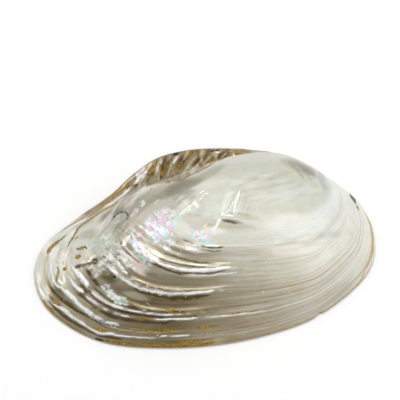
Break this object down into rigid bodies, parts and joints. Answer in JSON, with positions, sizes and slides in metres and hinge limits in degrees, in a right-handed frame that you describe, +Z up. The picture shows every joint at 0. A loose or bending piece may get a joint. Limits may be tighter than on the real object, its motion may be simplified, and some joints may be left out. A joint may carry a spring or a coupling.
{
  "type": "mussel shell",
  "caption": "Single polished mussel valve lying dome up on its rim, with growth ridges, a pleated wing and a hollow underside.",
  "frame": {"origin": "middle of the shell's outline as seen from above, on the plane of its rim", "axes": "+X along the length towards the front end, +Y towards the hinge, +Z up through the dome"},
  "size_m": [0.1656, 0.1096, 0.0301],
  "materials": {
    "nacre": "polished mother of pearl with pink and green shimmer"
  },
  "bodies": {
    "root": {"shell": "nacre"}
  },
  "joints": []
}
